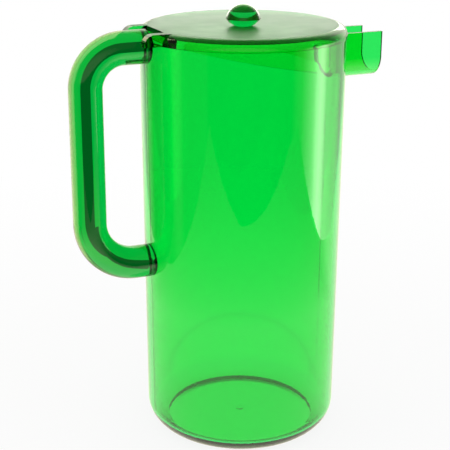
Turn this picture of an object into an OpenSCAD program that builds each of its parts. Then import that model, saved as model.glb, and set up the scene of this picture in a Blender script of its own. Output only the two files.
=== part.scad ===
// Clear plastic beer pitcher with a bent rod handle, a channel spout and a lift-off lid.
// Frame: Z is the axis of the jug, z = 0 is the table, +X points to the spout and -X to the handle.

/* [Jug] */
// Outside diameter at the rim
jug_top_d = 124; // [110:1:140]
// Outside diameter just above the base corner
jug_base_d = 120.8; // [110:0.2:136]
// Height from the table to the rim
jug_h = 251.6; // [215:0.2:300]
// Thickness of the wall
wall_t = 3; // [2:0.1:4.5]
// Thickness of the floor
floor_t = 2.7; // [2:0.1:6]
// Outer radius of the corner between wall and base
base_corner_r = 16.5; // [13.5:0.5:20]
// Radius of the corner between wall and floor inside
floor_corner_r = 9; // [7:0.5:11]
// How far the ring that the jug stands on lies in from the wall
foot_inset = 12.8; // [10:0.1:13]
// Width of that ring
foot_w = 0.6; // [0.4:0.1:2]
// Height of the hollow under the floor, inside the ring
foot_h = 2.7; // [1:0.1:4]
// Diameter of the gate mark in the middle of the hollow
gate_mark_d = 5; // [3:0.5:8]
// Height of the gate mark
gate_mark_h = 0.6; // [0.3:0.1:0.9]

/* [Handle] */
// Diameter of the round rod
rod_d = 20; // [16:0.5:24]
// Distance from the jug's axis to the middle of the grip
grip_reach = 99; // [95:1:115]
// Depth of the upper arm's axis below the rim
upper_arm_drop = 2.6; // [0:0.2:8]
// Height of the lower arm's axis above the table
lower_arm_z = 117.6; // [90:0.2:135]
// Bend radius at the top, to the middle of the rod
upper_bend_r = 23; // [18:0.5:26]
// Bend radius at the bottom, to the middle of the rod
lower_bend_r = 28; // [18:0.5:29]

/* [Spout] */
// Distance from the jug's axis to the end of the spout
spout_reach = 88.6; // [80:0.2:100]
// Outside width of the channel
spout_w = 26.5; // [20:0.5:34]
// Height of the channel, from its top edge to its outer bottom
spout_h = 28.7; // [24:0.1:38]
// Depth of the channel's top edge below the rim
spout_drop = 1.1; // [0:0.1:4]
// Thickness of the channel's wall
spout_t = 2.2; // [1.6:0.1:3.5]

/* [Lid plate] */
// How far the plate stands out past the rim all round
plate_overhang = 0.55; // [0:0.05:2]
// Height of the plate with its turned-down edge
plate_t = 7; // [6.6:0.1:10]
// Thickness of the plate and of its edge
plate_shell_t = 3.2; // [2:0.1:3.6]
// Radius of the plate's rounded upper edge
plate_edge_r = 6.4; // [2:0.1:6.6]
// How far the plate's top sinks towards the knob
dish_depth = 1.4; // [0.4:0.1:1.6]
// Width of the level rim round the sunk top
dish_margin = 8.4; // [7:0.2:16]
// Distance from the jug's axis to the inner edge of the notch
notch_reach = 55.8; // [48:0.2:58]
// Room between the rod and each side of the notch
notch_clear = 4.2; // [1:0.1:6]
// Width of each ear beside the notch
ear_w = 6; // [4:0.5:9]
// Distance from the jug's axis to the end of the ears
ear_reach = 70; // [66:0.5:74]

/* [Lid skirt] */
// Depth of the skirt at the spout
skirt_depth = 21.6; // [16:0.2:26]
// Slant of the skirt's lower edge, in degrees
skirt_slant = 11.1; // [9:0.1:16]
// Thickness of the skirt
skirt_t = 2.5; // [1.8:0.1:4]
// Room between the skirt and the wall of the jug
skirt_clear = 0.4; // [0.3:0.05:1]
// Height at which the skirt's two ends are trimmed off
skirt_tip_h = 0.6; // [0.4:0.1:2]

/* [Lid knob] */
// Diameter of the knob at its widest
knob_d = 20.8; // [16:0.2:28]
// Height of the dome above the widest level
knob_dome_h = 8.6; // [6:0.1:8.6]
// Height of the bowl below the widest level
knob_bowl_h = 4.2; // [3:0.1:5]
// Diameter of the flat foot
knob_foot_d = 10; // [8:0.2:12]
// Width of the level seat round the foot
knob_seat_w = 1; // [0.5:0.1:3]

/* [Clearances] */
// Thickness of a bond line
bond_gap = 0.05; // [0.02:0.01:0.1]
// Gap between the lid and the rim it rests on
seat_gap = 0.05; // [0.02:0.01:0.2]

/* [Hidden] */
$fn = 96;
// How far a cutting shape runs past what it cuts
overrun = 1;

jug_top_r = jug_top_d / 2;
jug_base_r = jug_base_d / 2;
foot_r = jug_base_r - foot_inset;
// Height at which the wall begins, where the base corner ends
wall_z = sqrt(pow(base_corner_r, 2) - pow(base_corner_r - foot_inset, 2));
floor_z = foot_h + floor_t;
// Growth of the wall's radius per unit of height
draft = (jug_top_r - jug_base_r) / (jug_h - wall_z);
rod_r = rod_d / 2;
upper_arm_z = jug_h - upper_arm_drop;
spout_top_z = jug_h - spout_drop;
spout_out_r = spout_w / 2;
spout_in_r = spout_out_r - spout_t;
spout_bend_z = spout_top_z - spout_h + spout_out_r;
// Inside the jug, where the straight lengths of the spout and its slot begin
channel_root_x = jug_base_r / 2;
lid_z = jug_h + seat_gap;
plate_r = jug_top_r + plate_overhang;
notch_w = rod_d + 2 * notch_clear;
hollow_h = plate_t - plate_shell_t;
hollow_end_x = notch_reach - plate_shell_t;
skirt_top_z = lid_z + hollow_h - bond_gap;
skirt_low_z = jug_h - skirt_depth;
// The skirt goes in past the tightest stretch of wall that it reaches
skirt_r = min(jug_r(jug_h), jug_r(skirt_low_z)) - wall_t - skirt_clear;
skirt_end_x = max(skirt_r - (skirt_depth - skirt_tip_h) / tan(skirt_slant), skirt_clear - hollow_end_x);
hollow_r = max(plate_r - plate_shell_t, skirt_r + skirt_clear);
dish_r = plate_r - dish_margin;
dish_floor_r = knob_foot_d / 2 + knob_seat_w;
// Growth of the dish's radius per unit of height
dish_flare = (dish_r - dish_floor_r) / dish_depth;
knob_r = knob_d / 2;
knob_z = lid_z + plate_t - dish_depth + bond_gap;
knob_wide_z = knob_z + knob_bowl_h;
dome_r = (pow(knob_r, 2) + pow(knob_dome_h, 2)) / (2 * knob_dome_h);
// Height of the bowl's centre above the widest level
bowl_rise = (pow(knob_r, 2) - pow(knob_foot_d / 2, 2) - pow(knob_bowl_h, 2)) / (2 * knob_bowl_h);
bowl_r = sqrt(pow(knob_r, 2) + pow(bowl_rise, 2));
clear_plastic = [0.05, 0.80, 0.30, 0.5];

// Outside radius of the jug at a height
function jug_r(z) = jug_base_r + draft * (z - wall_z);

// Half of the jug's section, or of the space inside it, with a round corner of a given height at the bottom
module jug_section(inset, corner_r, corner_h, low_z, high_z) {
    corner_z = low_z + corner_h;
    wall_x = jug_r(corner_z) - inset;
    corner_x = wall_x - corner_r;
    translate([0, low_z]) square([corner_x, corner_h]);
    intersection() {
        translate([corner_x, corner_z]) circle(corner_r);
        translate([0, low_z]) square([wall_x, 2 * corner_r]);
    }
    polygon([[0, corner_z], [wall_x, corner_z], [jug_r(high_z) - inset, high_z], [0, high_z]]);
}

// The jug's outside carried on past the rim, to cut the ends of what is bonded to it
module bonding_form() {
    high_z = jug_h + plate_t + rod_d;
    cylinder(h = high_z, r1 = jug_r(0) + bond_gap, r2 = jug_r(high_z) + bond_gap);
}

// End view of the spout's channel, the bend's middle at the origin, open upwards
module channel_section(r, h) {
    circle(r);
    translate([-r, 0]) square([2 * r, h]);
}

// A channel laid along +X, from one distance off the jug's axis to another
module channel(r, from_x, to_x, top_z) {
    translate([from_x, 0, spout_bend_z])
        rotate([90, 0, 90])
            linear_extrude(to_x - from_x) channel_section(r, top_z - spout_bend_z);
}

// A straight stretch of rod along -X at a height, from inside the wall to a bend
module handle_arm(z, bend_r) {
    root_x = jug_top_r - wall_t - rod_r;
    translate([-root_x, 0, z])
        rotate([0, -90, 0]) cylinder(h = grip_reach - bend_r - root_x, r = rod_r);
}

// A quarter bend in the XZ plane that ends at the foot of the grip
module handle_bend(bend_r) {
    rotate([90, 0, 0])
        rotate_extrude(angle = 90) translate([bend_r, 0]) circle(rod_r);
}

module jug_body() {
    color(clear_plastic) {
        difference() {
            rotate_extrude() difference() {
                jug_section(0, base_corner_r, wall_z, 0, jug_h);
                jug_section(wall_t, floor_corner_r, floor_corner_r, floor_z, jug_h + overrun);
                translate([0, -overrun]) square([foot_r - foot_w, foot_h + overrun]);
            }
            channel(spout_in_r, channel_root_x, jug_top_d, jug_h + overrun);
        }
        translate([0, 0, foot_h - gate_mark_h]) cylinder(h = gate_mark_h, d = gate_mark_d);
    }
}

module handle() {
    upper_bend_z = upper_arm_z - upper_bend_r;
    lower_bend_z = lower_arm_z + lower_bend_r;
    color(clear_plastic) difference() {
        union() {
            handle_arm(upper_arm_z, upper_bend_r);
            translate([upper_bend_r - grip_reach, 0, upper_bend_z])
                mirror([1, 0, 0]) handle_bend(upper_bend_r);
            translate([-grip_reach, 0, lower_bend_z])
                cylinder(h = upper_bend_z - lower_bend_z, r = rod_r);
            translate([lower_bend_r - grip_reach, 0, lower_bend_z])
                rotate([0, 180, 0]) handle_bend(lower_bend_r);
            handle_arm(lower_arm_z, lower_bend_r);
        }
        bonding_form();
    }
}

module spout() {
    color(clear_plastic) difference() {
        channel(spout_out_r, channel_root_x, spout_reach, spout_top_z);
        channel(spout_in_r, channel_root_x - overrun, spout_reach + overrun, spout_top_z + overrun);
        bonding_form();
    }
}

// Half of a plate's section from a given inner distance out, with a round upper edge
module plate_section(from_x, to_x) {
    low_h = plate_t - plate_edge_r;
    translate([from_x, 0]) square([to_x - plate_edge_r - from_x, plate_t]);
    translate([from_x, 0]) square([to_x - from_x, low_h]);
    intersection() {
        translate([to_x - plate_edge_r, low_h]) circle(plate_edge_r);
        translate([to_x - plate_edge_r, 0]) square([plate_t, plate_t]);
    }
}

module lid_plate() {
    color(clear_plastic) translate([0, 0, lid_z]) difference() {
        union() {
            rotate_extrude() plate_section(0, plate_r);
            for (side = [-1, 1])
                translate([0, side * (notch_w + ear_w) / 2 + ear_w / 2, 0])
                    mirror([1, 0, 0]) rotate([90, 0, 0])
                        linear_extrude(ear_w) plate_section(notch_reach - ear_w, ear_reach);
        }
        translate([-ear_reach - overrun, -notch_w / 2, -overrun])
            cube([ear_reach + overrun - notch_reach, notch_w, plate_t + 2 * overrun]);
        intersection() {
            translate([0, 0, -overrun]) cylinder(h = hollow_h + overrun, r = hollow_r);
            translate([-hollow_end_x, -plate_r, -overrun]) cube([2 * plate_r, 2 * plate_r, plate_t]);
        }
        translate([0, 0, plate_t - dish_depth])
            cylinder(h = dish_depth + overrun, r1 = dish_floor_r, r2 = dish_r + overrun * dish_flare);
    }
}

module lid_skirt() {
    height = skirt_top_z - skirt_low_z;
    cut = jug_top_d + jug_h;
    color(clear_plastic) difference() {
        translate([0, 0, skirt_low_z]) cylinder(h = height, r = skirt_r);
        translate([0, 0, skirt_low_z - overrun]) cylinder(h = height + 2 * overrun, r = skirt_r - skirt_t);
        translate([skirt_r, 0, skirt_low_z]) rotate([0, skirt_slant, 0])
            translate([-cut / 2, -cut / 2, -cut]) cube(cut);
        translate([skirt_end_x - cut, -cut / 2, skirt_top_z - cut / 2]) cube(cut);
    }
}

module lid_knob() {
    color(clear_plastic) intersection() {
        translate([0, 0, knob_wide_z + knob_dome_h - dome_r]) sphere(dome_r);
        translate([0, 0, knob_wide_z + bowl_rise]) sphere(bowl_r);
        translate([-knob_d, -knob_d, knob_z]) cube(2 * knob_d);
    }
}

jug_body();
handle();
spout();
lid_plate();
lid_skirt();
lid_knob();
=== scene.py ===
# %% [markdown]
# # A clear green pitcher
# The pitcher is moulded and bent from clear green plastic, so nearly all of its look comes from light
# that passes through it or glances off it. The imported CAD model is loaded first: it fixes every size,
# and each visible piece rides on one of its bodies.

# %% Load the frame
import math

import bmesh
import bpy
from mathutils import Matrix, Vector


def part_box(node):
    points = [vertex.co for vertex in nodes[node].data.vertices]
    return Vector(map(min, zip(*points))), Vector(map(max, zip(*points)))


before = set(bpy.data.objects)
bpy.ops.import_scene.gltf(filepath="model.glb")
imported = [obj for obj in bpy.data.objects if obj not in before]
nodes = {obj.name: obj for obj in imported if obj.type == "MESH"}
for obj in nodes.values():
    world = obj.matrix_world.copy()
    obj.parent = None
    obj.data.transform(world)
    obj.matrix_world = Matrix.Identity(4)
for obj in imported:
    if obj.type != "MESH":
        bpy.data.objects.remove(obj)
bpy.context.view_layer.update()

MM = 0.001
print("nodes:", sorted(nodes))

# %% [markdown]
# ## Camera
# The camera stands where a fit to the photograph puts it: a long lens, a little above the rim, turned
# so that the handle points to the left and slightly forward. A tracking constraint could aim it too, but
# a matrix made of the three camera axes also holds the small roll, and cannot drift.

# %% Camera
AXIS_DISTANCE = 689.2 * MM
CAMERA_HEIGHT = 365.1 * MM
CAMERA_AZIMUTH = math.radians(-24.7)
CAMERA_PITCH = math.radians(18.71)
CAMERA_YAW = math.radians(-0.86)
CAMERA_ROLL = math.radians(-0.23)
SENSOR_MM = 36.0
LENS_MM = 92.24

toward_jug = Vector((-math.sin(CAMERA_AZIMUTH), math.cos(CAMERA_AZIMUTH), 0.0))
beside_jug = Vector((math.cos(CAMERA_AZIMUTH), math.sin(CAMERA_AZIMUTH), 0.0))
up = Vector((0.0, 0.0, 1.0))
flat_look = math.cos(CAMERA_YAW) * toward_jug + math.sin(CAMERA_YAW) * beside_jug
look = math.cos(CAMERA_PITCH) * flat_look - math.sin(CAMERA_PITCH) * up
flat_right = math.cos(CAMERA_YAW) * beside_jug - math.sin(CAMERA_YAW) * toward_jug
flat_down = look.cross(flat_right)
right = math.cos(CAMERA_ROLL) * flat_right + math.sin(CAMERA_ROLL) * flat_down
camera_place = CAMERA_HEIGHT * up - AXIS_DISTANCE * toward_jug

lens = bpy.data.cameras.new("photo_camera")
lens.sensor_width = SENSOR_MM
lens.lens = LENS_MM
lens.clip_start = 0.01
camera = bpy.data.objects.new("photo_camera", lens)
axes = Matrix((right, right.cross(look), -look)).transposed().to_4x4()
camera.matrix_world = Matrix.Translation(camera_place) @ axes
scene = bpy.context.scene
scene.collection.objects.link(camera)
scene.camera = camera
print("camera at", [round(v, 4) for v in camera_place], "looking along", [round(v, 4) for v in look])

# %% [markdown]
# ## Small helpers
# Colours are written as the hex values a paint program shows, and one function turns them linear,
# which is what shaders work in. A second one adds a shader node, sets its sockets and links it, and a
# third starts an empty material. Every finish and every studio sheet below is made with these.

# %% Helpers


def linear(hex_colour):
    """sRGB hex text to a linear colour with full alpha."""
    parts = [int(hex_colour[i:i + 2], 16) / 255 for i in (1, 3, 5)]
    return [c / 12.92 if c <= 0.04045 else ((c + 0.055) / 1.055) ** 2.4 for c in parts] + [1.0]


def add_node(tree, kind, settings=None, **sockets):
    """Adds a node. A socket, by name or by number as i0, gets a value, an output or a node's first output."""
    node = tree.nodes.new(kind)
    for name, value in (settings or {}).items():
        setattr(node, name, value)
    for name, value in sockets.items():
        numbered = name[0] == "i" and name[1:].isdigit()
        socket = node.inputs[int(name[1:]) if numbered else name.replace("_", " ")]
        if isinstance(value, bpy.types.Node):
            value = value.outputs[0]
        if isinstance(value, bpy.types.NodeSocket):
            tree.links.new(value, socket)
        else:
            socket.default_value = value
    return node


def empty_material(name):
    """A material with no nodes yet."""
    material = bpy.data.materials.new(name)
    material.use_nodes = True
    material.node_tree.nodes.clear()
    return material


print("linear mid grey:", [round(c, 3) for c in linear("#808080")])

# %% [markdown]
# ## Studio
# Clear plastic needs something to show. A plain white world would leave it flat, and lamps would only
# make small hot spots. So the surround is white where it is seen or seen through the plastic, and what
# glances off the plastic meets a light tent: a dark opening at the front where the camera stands, one
# strong soft light on the right, a bright back wall and a dimmer roof. The levels run round the tent in
# degrees from the front, and overhead from the back at -1 to the front at 1.

# %% Surround levels
AROUND = (
    (-180, 1.4), (-150, 1.4), (-134, 0.6), (-120, 0.04), (-90, 0.04), (-84, 0.10), (-79, 0.22), (-74, 0.22),
    (-69, 0.06), (-40, 0.06), (-37, 0.0), (56, 0.0), (62, 0.15), (69, 0.33), (75, 1.0), (84, 2.3), (91, 4.8),
    (96, 6.2), (101, 4.8), (107, 2.3), (119, 1.5), (137, 1.0), (180, 1.0),
)
OVERHEAD = (
    (-1.0, 1.0), (-0.98, 1.4), (-0.9, 1.8), (-0.78, 1.5), (-0.62, 0.5), (-0.4, 0.15), (0.3, 0.08),
    (0.75, 0.08), (0.9, 0.45), (1.0, 0.45),
)
WARM = linear("#fffcea")[:3]
BRIGHTEST = max(value for _, value in AROUND)


def fill_ramp(ramp, levels):
    """Sets a colour ramp's stops from pairs of a position and a level of the tent's warm light."""
    elements = ramp.color_ramp.elements
    while len(elements) < len(levels):
        elements.new(1.0)
    for element, (position, level) in zip(elements, levels):
        element.position = position
        element.color = [level / BRIGHTEST * c for c in WARM] + [1.0]


print("levels:", len(AROUND), "around,", len(OVERHEAD), "overhead, brightest", BRIGHTEST)

# %% [markdown]
# Two colour ramps draw the tent from those levels, one by the compass and one from back to front, and the
# height of a direction chooses between them. An image could hold the same picture, but ramps are easy
# to change and need no file.

# %% Tent
ROOF_BEGINS = 0.06

scene.view_settings.view_transform = "Standard"
scene.cycles.max_bounces = 32
scene.cycles.transmission_bounces = 32
scene.cycles.glossy_bounces = 16
world = bpy.data.worlds.new("studio_surround")
scene.world = world
world.use_nodes = True
tree = world.node_tree
tree.nodes.clear()
direction = add_node(tree, "ShaderNodeTexCoord").outputs["Generated"]
sideways = add_node(tree, "ShaderNodeVectorMath", {"operation": "DOT_PRODUCT"}, i0=direction, i1=beside_jug)
forward = add_node(tree, "ShaderNodeVectorMath", {"operation": "DOT_PRODUCT"}, i0=direction, i1=-toward_jug)
forward = forward.outputs["Value"]
turn = add_node(tree, "ShaderNodeMath", {"operation": "ARCTAN2"}, i0=sideways.outputs["Value"], i1=forward)
turn = add_node(tree, "ShaderNodeMath", {"operation": "MULTIPLY_ADD"}, i0=turn, i1=0.5 / math.pi, i2=0.5)
around = add_node(tree, "ShaderNodeValToRGB", i0=turn)
fill_ramp(around, [(0.5 + degrees / 360, level) for degrees, level in AROUND])
depth = add_node(tree, "ShaderNodeMath", {"operation": "MULTIPLY_ADD"}, i0=forward, i1=0.5, i2=0.5)
overhead = add_node(tree, "ShaderNodeValToRGB", i0=depth)
fill_ramp(overhead, [(0.5 + 0.5 * ahead, level) for ahead, level in OVERHEAD])
rise = add_node(tree, "ShaderNodeSeparateXYZ", i0=direction).outputs["Z"]
roof = add_node(tree, "ShaderNodeMapRange", Value=rise, From_Min=0.0, From_Max=ROOF_BEGINS)
mirrored = add_node(tree, "ShaderNodeMix", {"data_type": "RGBA"}, i0=roof, i6=around, i7=overhead)
print("tent:", len(tree.nodes), "nodes")

# %% [markdown]
# Light Path tells the kinds of ray apart: straight from the camera, through the plastic, or glanced off
# it. A ray that has been inside the plastic before it meets the tent gets only a share of it, since in
# the photograph the plastic stays clear of bright second images.

# %% Kinds of ray
INSIDE_SHARE = 0.4
SEEN_THROUGH = 0.92
ANY = 0.5  # depths are whole numbers, so this tells none from one or more

path = add_node(tree, "ShaderNodeLightPath").outputs
glanced = add_node(tree, "ShaderNodeMath", {"operation": "GREATER_THAN"}, i0=path["Glossy Depth"], i1=ANY)
inside = add_node(tree, "ShaderNodeMath", {"operation": "GREATER_THAN"}, i0=path["Transmission Depth"],
                  i1=ANY)
strength = add_node(tree, "ShaderNodeMath", {"operation": "MULTIPLY_ADD"}, i0=inside,
                    i1=(INSIDE_SHARE - 1) * BRIGHTEST, i2=BRIGHTEST)
tent = add_node(tree, "ShaderNodeBackground", Color=mirrored.outputs[2], Strength=strength)
behind = add_node(tree, "ShaderNodeBackground", Color=linear("#ffffff"), Strength=SEEN_THROUGH)
white = add_node(tree, "ShaderNodeBackground", Color=linear("#ffffff"), Strength=1.0)
mix = add_node(tree, "ShaderNodeMixShader", i0=glanced, i1=behind, i2=tent)
mix = add_node(tree, "ShaderNodeMixShader", i0=path["Is Camera Ray"], i1=mix, i2=white)
add_node(tree, "ShaderNodeOutputWorld", Surface=mix)
print("surround:", len(tree.nodes), "nodes")

# %% [markdown]
# The jug stands on a sheet of white paper. The wall of the jug mirrors the paper below and the dark room
# past its edge above, which draws the long tongue of deeper green down the front of the jug. A wide plane
# would be simpler, but it is the outline that shapes the tongue, so the sheet is one polygon, given by
# its corners to the right of the jug and in front of it. It lies a hair below the foot so that the two
# never fight.

# %% Table
TABLE_CORNERS = (
    (-0.357, -2.0), (-0.357, 0.06), (-0.414, 0.367), (-0.485, 0.629), (-0.51, 0.719), (0.0, 0.488),
    (0.60, 0.48), (0.775, 0.40), (0.414, -0.06), (0.353, -0.233), (0.40, -0.39), (0.60, -2.0),
)
DROP = 0.1 * MM

bm = bmesh.new()
bm.faces.new([bm.verts.new(r * beside_jug - f * toward_jug - DROP * up) for r, f in TABLE_CORNERS])
bmesh.ops.recalc_face_normals(bm, faces=bm.faces)
mesh = bpy.data.meshes.new("table")
bm.to_mesh(mesh)
bm.free()
table = bpy.data.objects.new("table", mesh)
scene.collection.objects.link(table)
print("table:", len(TABLE_CORNERS), "corners")

# %% [markdown]
# To the camera and through the plastic the paper glows plain white, a little less near the jug so that it
# keeps the jug's shadow. At the far foot of the ring that the jug stands on, a painted shadow takes the
# glow off the paper. Lamps could do both, but they would also light the pieces, so the share of glow is
# worked out from the place.

# %% Paper
NEAR, FAR, NEAR_GLOW = 0.2, 0.6, 0.88
RING_R = 47 * MM
SHADOW_INNER, SHADOW_OUTER = RING_R - 4 * MM, RING_R - 1 * MM
SHADOW_BEGINS, SHADOW_FULL = -12 * MM, -40 * MM  # in front of the jug's axis, so both lie behind it

paper = empty_material("white_paper")
tree = paper.node_tree
path = add_node(tree, "ShaderNodeLightPath").outputs
spot = add_node(tree, "ShaderNodeTexCoord").outputs["Object"]
reach = add_node(tree, "ShaderNodeVectorMath", {"operation": "LENGTH"}, i0=spot).outputs["Value"]
front = add_node(tree, "ShaderNodeVectorMath", {"operation": "DOT_PRODUCT"}, i0=spot, i1=-toward_jug)
front = front.outputs["Value"]

seen = add_node(tree, "ShaderNodeMath", {"operation": "MAXIMUM"}, i0=path["Is Glossy Ray"],
                i1=path["Is Transmission Ray"])
seen = add_node(tree, "ShaderNodeMath", {"operation": "MAXIMUM"}, i0=path["Is Camera Ray"], i1=seen)
plain = add_node(tree, "ShaderNodeMapRange", Value=reach, From_Min=NEAR, From_Max=FAR, To_Min=NEAR_GLOW,
                 To_Max=1.0)
share = add_node(tree, "ShaderNodeMath", {"operation": "MULTIPLY"}, i0=seen, i1=plain)
# painted shadow: no glow inside the ring's hollow, on its far side only
hollow = add_node(tree, "ShaderNodeMath", {"operation": "LESS_THAN"}, i0=reach, i1=RING_R)
edge = add_node(tree, "ShaderNodeMapRange", Value=reach, From_Min=SHADOW_INNER, From_Max=SHADOW_OUTER)
far = add_node(tree, "ShaderNodeMapRange", Value=front, From_Min=SHADOW_BEGINS, From_Max=SHADOW_FULL)
shadow = add_node(tree, "ShaderNodeMath", {"operation": "MULTIPLY"}, i0=hollow, i1=edge)
shadow = add_node(tree, "ShaderNodeMath", {"operation": "MULTIPLY"}, i0=shadow, i1=far)
unshaded = add_node(tree, "ShaderNodeMath", {"operation": "SUBTRACT"}, i0=1.0, i1=shadow)
share = add_node(tree, "ShaderNodeMath", {"operation": "MULTIPLY"}, i0=share, i1=unshaded)
print("paper: shadow inside a radius of", RING_R / MM, "mm")

# %% [markdown]
# A painted pool of light: the mirror image of the paper fades with the square of the distance from the
# jug, as paper under a lamp does, though no lamp is there, and stays bright behind the jug. The glow and a
# plain matt white are then mixed by that share.

# %% Paper in the mirror
PAINTED_LIGHT_REACH = 0.28
MOST_LIT = 1.25
BACK_BEGINS, BACK_FULL = 0.05, -0.15

# painted light: the paper glows less in reflections the further it is from the jug
near = add_node(tree, "ShaderNodeMath", {"operation": "DIVIDE"}, i0=PAINTED_LIGHT_REACH, i1=reach)
lit = add_node(tree, "ShaderNodeMath", {"operation": "POWER"}, i0=near, i1=2.0)
lit = add_node(tree, "ShaderNodeMath", {"operation": "MINIMUM"}, i0=lit, i1=MOST_LIT)
back = add_node(tree, "ShaderNodeMapRange", Value=front, From_Min=BACK_BEGINS, From_Max=BACK_FULL,
                To_Max=MOST_LIT)
lit = add_node(tree, "ShaderNodeMath", {"operation": "MAXIMUM"}, i0=lit, i1=back)
glanced = add_node(tree, "ShaderNodeMath", {"operation": "GREATER_THAN"}, i0=path["Glossy Depth"], i1=ANY)
strength = add_node(tree, "ShaderNodeMix", {"data_type": "FLOAT"}, i0=glanced, i2=1.0, i3=lit)
tone = add_node(tree, "ShaderNodeMix", {"data_type": "RGBA"}, i0=path["Is Camera Ray"], i6=linear("#fffbe2"),
                i7=linear("#ffffff"))
matt = add_node(tree, "ShaderNodeBsdfDiffuse", Color=linear("#f4f4f2"))
glow = add_node(tree, "ShaderNodeEmission", Color=tone.outputs[2], Strength=strength)
mix = add_node(tree, "ShaderNodeMixShader", i0=share, i1=matt, i2=glow)
add_node(tree, "ShaderNodeOutputMaterial", Surface=mix)
table.data.materials.append(paper)
print("paper:", len(tree.nodes), "nodes")

# %% [markdown]
# A solid rod is a strong lens: through its middle it shows a small picture of what lies behind it. In the
# photograph that is something dark, which gives the handle its dark core. It could be painted into the
# rod, but then it would not move as a lens does. So the dark core is painted shade on two grey ribbons
# that stand 60 mm behind the rod as the camera sees it. The first follows the grip, the upper bend and the
# upper arm, the second the lower arm, a little above it because the lens turns its picture over.

# %% Sheets for the studio
BEHIND = 60 * MM


def studio_sheet(name, rows):
    """A sheet of faces between rows of two corners, which only rays off the plastic or through it meet."""
    bm = bmesh.new()
    pairs = [[bm.verts.new(corner) for corner in row] for row in rows]
    for low, high in zip(pairs, pairs[1:]):
        bm.faces.new((low[0], low[1], high[1], high[0]))
    mesh = bpy.data.meshes.new(name)
    bm.to_mesh(mesh)
    bm.free()
    sheet = bpy.data.objects.new(name, mesh)
    scene.collection.objects.link(sheet)
    sheet.visible_camera = sheet.visible_diffuse = sheet.visible_shadow = False
    material = empty_material(name)
    mesh.materials.append(material)
    print(name, "has", len(mesh.polygons), "faces")
    return sheet, material.node_tree


def along_rod(points, first, last):
    """Rows of a ribbon behind points of the handle. Its edges run from the first offsets to the last."""
    rows = []
    for i, (x, z) in enumerate(points):
        before, after = points[max(i - 1, 0)], points[min(i + 1, len(points) - 1)]
        tangent = Vector((after[0] - before[0], 0.0, after[1] - before[1]))
        on_rod = MM * Vector((x, 0.0, z))
        sight = (on_rod - camera_place).normalized()
        across = tangent.cross(sight).normalized()
        gone_by = i / (len(points) - 1)
        offsets = [a + (b - a) * gone_by for a, b in zip(first, last)]
        rows.append([on_rod + BEHIND * sight + MM * offset * across for offset in offsets])
    return rows


print("ribbons stand", BEHIND / MM, "mm behind the rod")

# %% [markdown]
# The middle line of the rod is two straight arms, two quarter bends and the grip between them. Only light
# that has crossed one solid piece meets the ribbons, so that they do not show through the jug.

# %% Dark ribbons
ROD_X, UPPER_Z, LOWER_Z = -99, 249, 117.6
UPPER_BEND, LOWER_BEND = 23, 28
GRIP_Z, ARM_X = 125, -64
UPPER_WIDTH = (-10, 10)
LOWER_FIRST, LOWER_LAST = (-19, -11), (1, 23)
ONE_PIECE = 2.5  # light crosses the surface of a solid piece twice

quarter = [math.radians(degrees) for degrees in range(0, 91, 15)]
upper_line = [(ROD_X, GRIP_Z)]
upper_line += [(ROD_X + UPPER_BEND * (1 - math.cos(a)), UPPER_Z - UPPER_BEND * (1 - math.sin(a)))
               for a in quarter]
upper_line += [(ARM_X, UPPER_Z)]
lower_line = [(ROD_X + LOWER_BEND * (1 - math.cos(a)), LOWER_Z + LOWER_BEND * (1 - math.sin(a)))
              for a in quarter]
lower_line += [(ARM_X, LOWER_Z)]
for name, rows in (("upper_ribbon", along_rod(upper_line, UPPER_WIDTH, UPPER_WIDTH)),
                   ("lower_ribbon", along_rod(lower_line, LOWER_FIRST, LOWER_LAST))):
    ribbon, tree = studio_sheet(name, rows)
    ribbon.visible_glossy = False
    path = add_node(tree, "ShaderNodeLightPath").outputs
    once = add_node(tree, "ShaderNodeMath", {"operation": "LESS_THAN"}, i0=path["Transmission Depth"],
                    i1=ONE_PIECE)
    gone = add_node(tree, "ShaderNodeBsdfTransparent")
    # painted shade: a grey sheet that darkens the core of the rod
    painted_core_shade = add_node(tree, "ShaderNodeEmission", Color=linear("#808080"), Strength=1.0)
    mix = add_node(tree, "ShaderNodeMixShader", i0=once, i1=gone, i2=painted_core_shade)
    add_node(tree, "ShaderNodeOutputMaterial", Surface=mix)

# %% [markdown]
# The outer side of the handle is pale with a warm cast, as if a lit card were bent round it. An area lamp
# would light every piece, but a card whose material asks Light Path shines only for rays that glance
# off the outside of a piece close by. The card fades towards the camera. Its corners, and those of the
# next one, are given in millimetres to the right of the jug, in front of it and up.

# %% Lit card
CARD = (
    ((-112, 28, 50), (-150, 75, 50)), ((-112, 28, 225), (-150, 75, 230)), ((-104, 26, 252), (-132, 62, 270)),
    ((-90, 15, 264), (-100, 50, 290)), ((-71, 6, 266), (-71, 40, 294)),
)
CARD_LIGHT, CARD_WITHIN = 2.8, 50 * MM
FADES_FROM, FADES_TO = 45 * MM, 75 * MM


def studio_rows(rows):
    """Turns rows of corners, in millimetres right, front and up of the jug, into points in the frame."""
    return [[MM * (r * beside_jug - f * toward_jug + z * up) for r, f, z in row] for row in rows]


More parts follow.
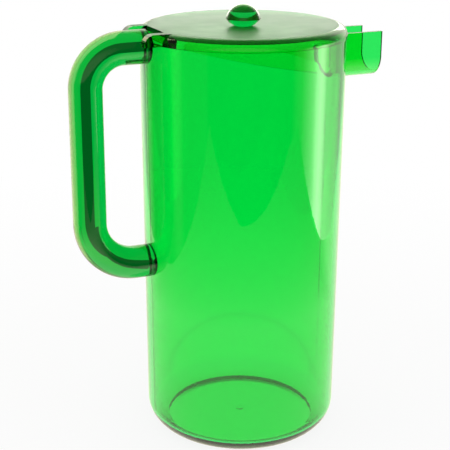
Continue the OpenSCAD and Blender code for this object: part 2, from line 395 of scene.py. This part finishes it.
def shine_outside(tree, colour, strength, within):
    """Makes a sheet shine for rays that glance off the outside of a piece within a given distance."""
    path = add_node(tree, "ShaderNodeLightPath").outputs
    glanced = add_node(tree, "ShaderNodeMath", {"operation": "GREATER_THAN"}, i0=path["Glossy Depth"], i1=ANY)
    outside = add_node(tree, "ShaderNodeMath", {"operation": "LESS_THAN"}, i0=path["Transmission Depth"],
                       i1=ANY)
    close = add_node(tree, "ShaderNodeMath", {"operation": "LESS_THAN"}, i0=path["Ray Length"], i1=within)
    met = add_node(tree, "ShaderNodeMath", {"operation": "MULTIPLY"}, i0=glanced, i1=outside)
    met = add_node(tree, "ShaderNodeMath", {"operation": "MULTIPLY"}, i0=met, i1=close)
    gone = add_node(tree, "ShaderNodeBsdfTransparent")
    shine = add_node(tree, "ShaderNodeEmission", Color=linear(colour), Strength=strength)
    mix = add_node(tree, "ShaderNodeMixShader", i0=met, i1=gone, i2=shine)
    add_node(tree, "ShaderNodeOutputMaterial", Surface=mix)


tree = studio_sheet("lit_card", studio_rows(CARD))[1]
spot = add_node(tree, "ShaderNodeTexCoord").outputs["Object"]
front = add_node(tree, "ShaderNodeVectorMath", {"operation": "DOT_PRODUCT"}, i0=spot, i1=-toward_jug)
fade = add_node(tree, "ShaderNodeMapRange", Value=front.outputs["Value"], From_Min=FADES_FROM,
                From_Max=FADES_TO, To_Min=CARD_LIGHT, To_Max=0.0)
shine_outside(tree, "#fff4cc", fade, CARD_WITHIN)

# %% [markdown]
# The top of the lid is palest at the back, so a second, low card stands close behind it. The further a
# point of the lid is from that card, the less of it the satin surface gathers.

# %% Back card
BACK_CARD = (((-65, -80, 264), (-65, -80, 290)), ((90, -80, 264), (90, -80, 290)))
BACK_LIGHT, BACK_WITHIN = 4.4, 260 * MM

tree = studio_sheet("back_card", studio_rows(BACK_CARD))[1]
shine_outside(tree, "#fffaf0", BACK_LIGHT, BACK_WITHIN)

# %% [markdown]
# ## Clear green styrene
# All six pieces are tinted styrene: hard, glossy and clear, with the dye right through it. Light loses
# red at once, most of its blue soon after and hardly any green, so a thin wall is bright green and the
# thick rod is deep green. A plain glass colour would make both the same. The shader therefore splits the
# dye in two, a tint where light crosses the surface and an absorption per millimetre inside. Even a
# polished moulding is not perfect: it has a slight swell and patches of faint haze about 9 mm wide, and
# each piece below says how its own swell runs.

# %% Plastic
TINT = "#3fffa2"
ABSORPTION_PER_MM = (0.20, 0.034, 0.094)  # red, green and blue
STYRENE_IOR = 1.57  # polystyrene has 1.59, its clear blends a little less
HAZE_MM = 9
HAZE_LOW, HAZE_HIGH = 0.35, 0.75  # the part of the noise that the roughness follows


def clear_styrene(name, tint, swell_mm, swell_height_mm, haze, dye=1.0):
    """Clear dyed styrene with a swell of three given wavelengths along X, Y and Z and a given roughness."""
    material = empty_material(name)
    tree = material.node_tree
    spot = add_node(tree, "ShaderNodeTexCoord").outputs["Object"]
    scaled = add_node(tree, "ShaderNodeMapping", Vector=spot, Scale=[1 / (w * MM) for w in swell_mm])
    swell = add_node(tree, "ShaderNodeTexNoise", {"label": "swell"}, Vector=scaled, Scale=1.0, Detail=2.0)
    relief = add_node(tree, "ShaderNodeBump", {"label": "relief"}, Height=swell, Strength=1.0,
                      Distance=swell_height_mm * MM)
    cloud = add_node(tree, "ShaderNodeTexNoise", {"label": "haze"}, Vector=spot, Scale=1 / (HAZE_MM * MM),
                     Detail=3.0)
    rough = add_node(tree, "ShaderNodeMapRange", {"label": "roughness"}, Value=cloud, From_Min=HAZE_LOW,
                     From_Max=HAZE_HIGH, To_Min=0.0, To_Max=haze)
    shell = add_node(tree, "ShaderNodeBsdfPrincipled", {"label": "shell"}, Base_Color=linear(tint),
                     Roughness=rough, IOR=STYRENE_IOR, Transmission_Weight=1.0, Normal=relief)
    strongest = max(ABSORPTION_PER_MM)
    kept = [1 - a / strongest for a in ABSORPTION_PER_MM] + [1.0]
    bulk = add_node(tree, "ShaderNodeVolumeAbsorption", Color=kept, Density=dye * strongest / MM)
    add_node(tree, "ShaderNodeOutputMaterial", Surface=shell, Volume=bulk)
    return material


def labelled(material):
    """The labelled nodes of a plastic by their labels, and the place that its patterns read."""
    tree = material.node_tree
    return {n.label: n for n in tree.nodes if n.label}, tree.nodes["Texture Coordinate"].outputs["Object"]


def dress(name, material):
    """Gives a CAD node its finished material."""
    node = nodes[name]
    node.data.materials.clear()
    node.data.materials.append(material)
    print(name, "takes", material.name, "on", len(node.data.polygons), "faces")


print("left after 2 mm:", [round(math.exp(-2 * a), 2) for a in ABSORPTION_PER_MM])

# %% [markdown]
# ## Jug
# The core and the cavity that moulded the jug were polished up and down, the way they draw apart, so the
# wall keeps faint upright streaks. They hardly show by themselves, but they comb the edge of everything
# the wall mirrors. The swell is therefore short round the wall and very long along it. The two halves of
# the mould also left a fine parting line down the wall, under the handle and under the spout. Both are
# thinner than a hair, so they are bump and not mesh.

# %% Jug finish
LINE_MM, LINE_FADES_MM, LINE_HEIGHT = 0.1, 0.45, 4.0
FLOOR_CORNER = 14 * MM  # the line ends where the wall turns in to the base

jug_plastic = clear_styrene("polished_green_styrene", TINT, (3.0, 3.0, 160.0), 0.018, 0.03)
tree = jug_plastic.node_tree
parts, spot = labelled(jug_plastic)
on_jug = add_node(tree, "ShaderNodeSeparateXYZ", i0=spot).outputs
offset = add_node(tree, "ShaderNodeMath", {"operation": "ABSOLUTE"}, i0=on_jug["Y"])
line = add_node(tree, "ShaderNodeMapRange", {"interpolation_type": "SMOOTHSTEP"}, Value=offset,
                From_Min=LINE_MM * MM, From_Max=LINE_FADES_MM * MM, To_Min=LINE_HEIGHT, To_Max=0.0)
above_floor = add_node(tree, "ShaderNodeMath", {"operation": "GREATER_THAN"}, i0=on_jug["Z"], i1=FLOOR_CORNER)
line = add_node(tree, "ShaderNodeMath", {"operation": "MULTIPLY"}, i0=line, i1=above_floor)
height = add_node(tree, "ShaderNodeMath", {"operation": "ADD"}, i0=parts["swell"], i1=line)
tree.links.new(height.outputs[0], parts["relief"].inputs["Height"])
dress("jug_body", jug_plastic)

# %% [markdown]
# Under the floor the jug has a shallow hollow. Light that enters the upright face of that hollow is
# thrown to and fro inside the thick corner behind it and hardly any comes back, so the face shows as a dark
# crescent through the floor. The renderer does not lose that much light there, so that shade is painted:
# the face gets the deep green that is left, opaque and without gloss. A second material slot on those
# faces is enough.

# %% Ring face
HOLLOW_H = 2.7 * MM
UPRIGHT = 0.1  # the most that the normal of an upright face may point up or down

# painted shade: an opaque dark green face stands in for the light lost in the corner
ring_face = clear_styrene("painted_shade_ring_face", "#0e5a0c", (3.0, 3.0, 3.0), 0.01, 0.03)
shell = labelled(ring_face)[0]["shell"]
shell.inputs["Transmission Weight"].default_value = 0.0
shell.inputs["Specular IOR Level"].default_value = 0.0
jug = nodes["jug_body"]
jug.data.materials.append(ring_face)
upright = [p for p in jug.data.polygons if p.center.z < HOLLOW_H and abs(p.normal.z) < UPRIGHT
           and p.center.to_2d().dot(p.normal.to_2d()) < 0]
for polygon in upright:
    polygon.material_index = 1
print("ring face:", len(upright), "of", len(jug.data.polygons), "faces")

# %% [markdown]
# ## Handle and knob
# The handle is drawn rod, softened and bent round two formers, so its swell is long and loose. Its ends
# are bonded to the wall, and the bond shows as a thin dark line where the rod meets it. Cutting a groove
# would change the shape, so the rod's tint darkens in the last millimetre before the wall instead. The
# knob is turned and polished. Both are solid and work as strong lenses.

# %% Handle and knob finish
BASE_R, WALL_DRAFT = 60.4 * MM, 1.6 / 251.6  # the jug's wall: its radius at the table and its lean
BOND_ENDS, BOND_FADES = 0.9 * MM, 1.5 * MM

rod = clear_styrene("bent_green_styrene_rod", TINT, (22.0, 22.0, 22.0), 0.03, 0.04)
tree = rod.node_tree
parts, spot = labelled(rod)
flat_spot = add_node(tree, "ShaderNodeVectorMath", {"operation": "MULTIPLY"}, i0=spot, i1=(1.0, 1.0, 0.0))
radius = add_node(tree, "ShaderNodeVectorMath", {"operation": "LENGTH"}, i0=flat_spot).outputs["Value"]
height = add_node(tree, "ShaderNodeSeparateXYZ", i0=spot).outputs["Z"]
beyond = add_node(tree, "ShaderNodeMath", {"operation": "MULTIPLY_ADD"}, i0=height, i1=-WALL_DRAFT, i2=radius)
bond = add_node(tree, "ShaderNodeMapRange", Value=beyond, From_Min=BASE_R + BOND_ENDS,
                From_Max=BASE_R + BOND_FADES)
tint = add_node(tree, "ShaderNodeMix", {"data_type": "RGBA"}, i0=bond, i6=linear("#04140a"), i7=linear(TINT))
tree.links.new(tint.outputs[2], parts["shell"].inputs["Base Color"])
dress("handle", rod)
dress("lid_knob", clear_styrene("turned_green_styrene", TINT, (16.0, 16.0, 6.0), 0.02, 0.03))

# %% [markdown]
# ## Spout
# The spout is cut from thin channel, and its swell follows the channel's length. Its wall is the thinnest
# of all, so it gets a fuller tint to keep the jug's green where light crosses it only once.

# %% Spout finish
dress("spout", clear_styrene("thin_green_styrene_channel", "#3fff7c", (40.0, 3.0, 3.0), 0.01, 0.03))

# %% [markdown]
# ## Lid
# The skirt is a thin ring that hangs inside the jug, where light already crosses the jug's own wall, so it
# has a paler tint and less dye. The rounded edge of the plate is as clear as the jug. The top of the plate
# is not: its mould was blasted with fine grit so that the lid does not show wiping marks, which gives it a
# pale satin sheen and hides what lies below. A second material on the top would leave the renderer unsure
# of which dye it is in, so one material changes only its roughness, where the plate looks straight up.

# %% Lid finish
SUNK = 1.6 * MM  # a little more than the top sinks towards the knob
LOOKS_UP = 0.985
SATIN_LEAST, SATIN_MOST = 0.44, 0.49

dress("lid_skirt", clear_styrene("clear_green_styrene_ring", "#9cffc0", (5.0, 5.0, 60.0), 0.01, 0.03, 0.2))
lid_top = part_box("lid_plate")[1][2]
lid_plastic = clear_styrene("satin_topped_styrene", "#38f078", (18.0, 18.0, 18.0), 0.01, 0.03)
tree = lid_plastic.node_tree
parts, spot = labelled(lid_plastic)
height = add_node(tree, "ShaderNodeSeparateXYZ", i0=spot).outputs["Z"]
top = add_node(tree, "ShaderNodeMath", {"operation": "GREATER_THAN"}, i0=height, i1=lid_top - SUNK)
facing = add_node(tree, "ShaderNodeNewGeometry").outputs["True Normal"]
facing = add_node(tree, "ShaderNodeSeparateXYZ", i0=facing).outputs["Z"]
facing = add_node(tree, "ShaderNodeMath", {"operation": "ABSOLUTE"}, i0=facing)
level = add_node(tree, "ShaderNodeMath", {"operation": "GREATER_THAN"}, i0=facing, i1=LOOKS_UP)
blasted = add_node(tree, "ShaderNodeMath", {"operation": "MULTIPLY"}, i0=top, i1=level)
satin = add_node(tree, "ShaderNodeMapRange", Value=parts["haze"], From_Min=HAZE_LOW,
                 From_Max=HAZE_HIGH, To_Min=SATIN_LEAST, To_Max=SATIN_MOST)
finish = add_node(tree, "ShaderNodeMix", {"data_type": "FLOAT"}, i0=blasted, i2=parts["roughness"], i3=satin)
tree.links.new(finish.outputs[0], parts["shell"].inputs["Roughness"])
dress("lid_plate", lid_plastic)
